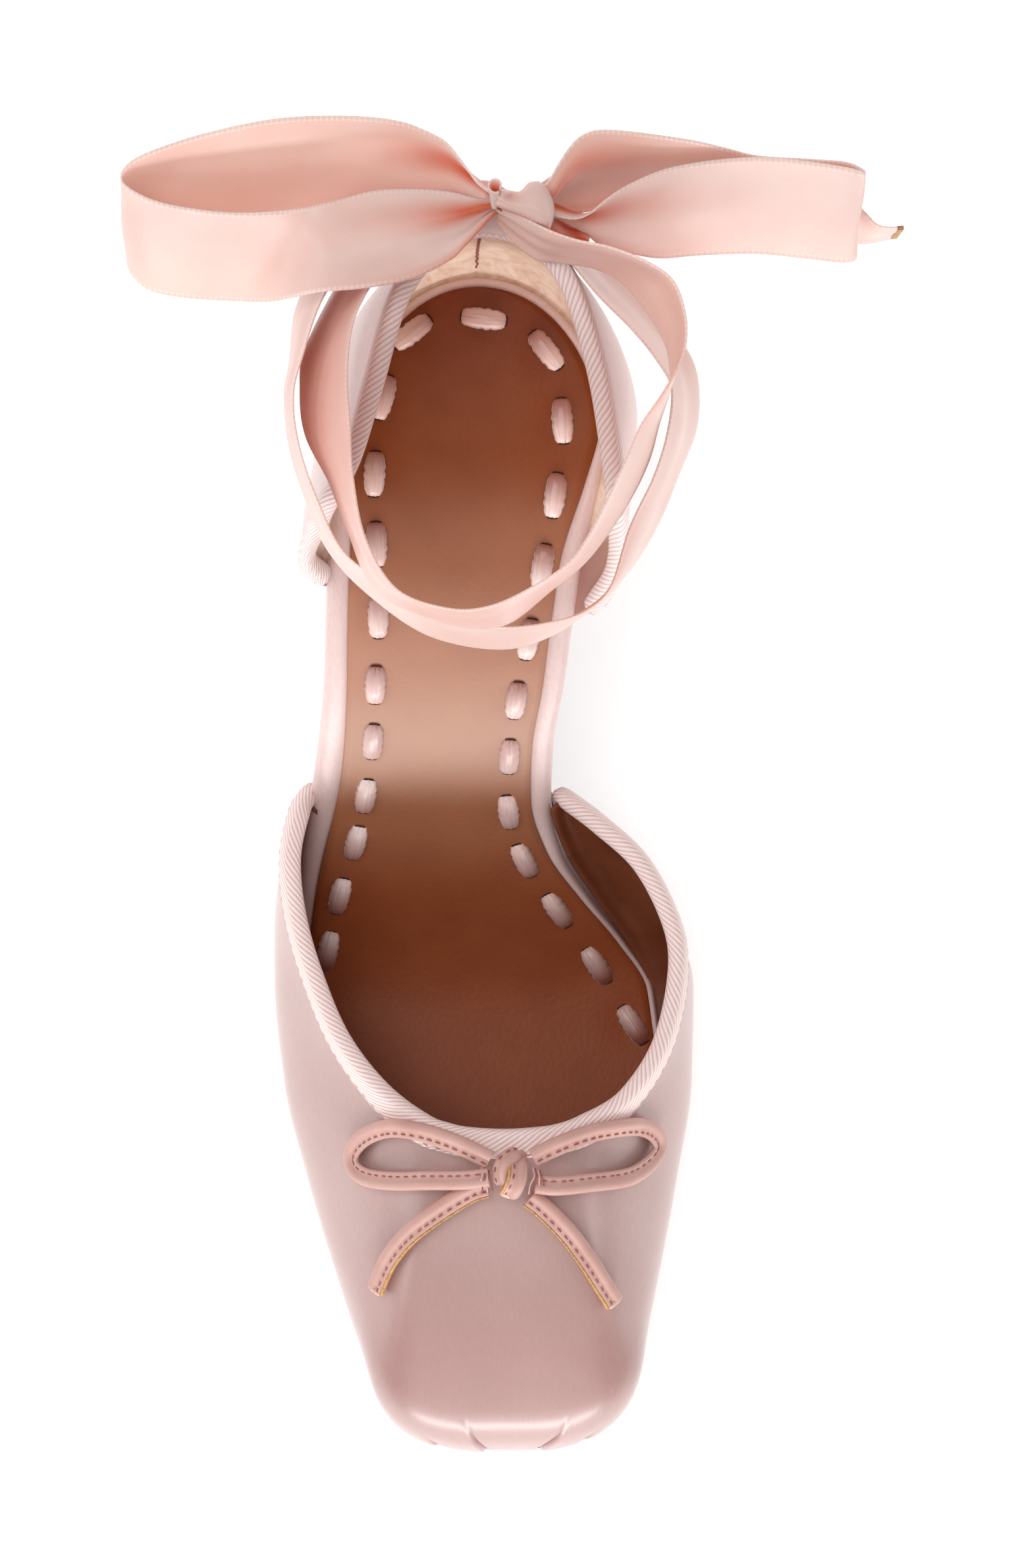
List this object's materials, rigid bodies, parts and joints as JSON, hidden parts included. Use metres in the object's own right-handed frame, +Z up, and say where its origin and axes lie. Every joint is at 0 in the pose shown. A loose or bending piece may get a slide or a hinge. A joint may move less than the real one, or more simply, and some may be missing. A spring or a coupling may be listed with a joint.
{
  "type": "ankle wrap pump",
  "caption": "Right-foot satin pump with open sides, square toe, covered block heel, small leather bow on the vamp, and an ankle ribbon tied in a bow at the back.",
  "frame": {"origin": "on the floor under the ball of the foot, at the middle of the forepart's flat spot", "axes": "+Z up, +Y towards the heel, -Y towards the toe, +X towards the inner (medial) side of the foot"},
  "size_m": [0.1432, 0.2395, 0.1431],
  "materials": {
    "satin": "satin-covered, soft sheen",
    "ribbon": "thin woven satin ribbon",
    "brown_leather": "semi-matt lining leather",
    "pink_leather": "smooth piped leather cord",
    "sole_rubber": "matt"
  },
  "bodies": {
    "root": {"outsole": "sole_rubber", "insole_board": "satin", "footbed": "brown_leather", "vamp": "satin", "counter": "satin", "heel_block": "satin", "heel_tip": "sole_rubber", "vamp_bow_knot": "pink_leather", "vamp_bow_loop_lateral": "pink_leather", "vamp_bow_loop_medial": "pink_leather", "vamp_bow_tail_lateral": "pink_leather", "vamp_bow_tail_medial": "pink_leather", "ribbon_keeper": "satin", "ankle_ribbon_upper": "ribbon", "ankle_ribbon_lower": "ribbon", "ribbon_knot": "ribbon", "ribbon_loop_lateral": "ribbon", "ribbon_loop_medial": "ribbon", "ribbon_tail_lateral": "ribbon", "ribbon_tail_medial": "ribbon"}
  },
  "joints": []
}
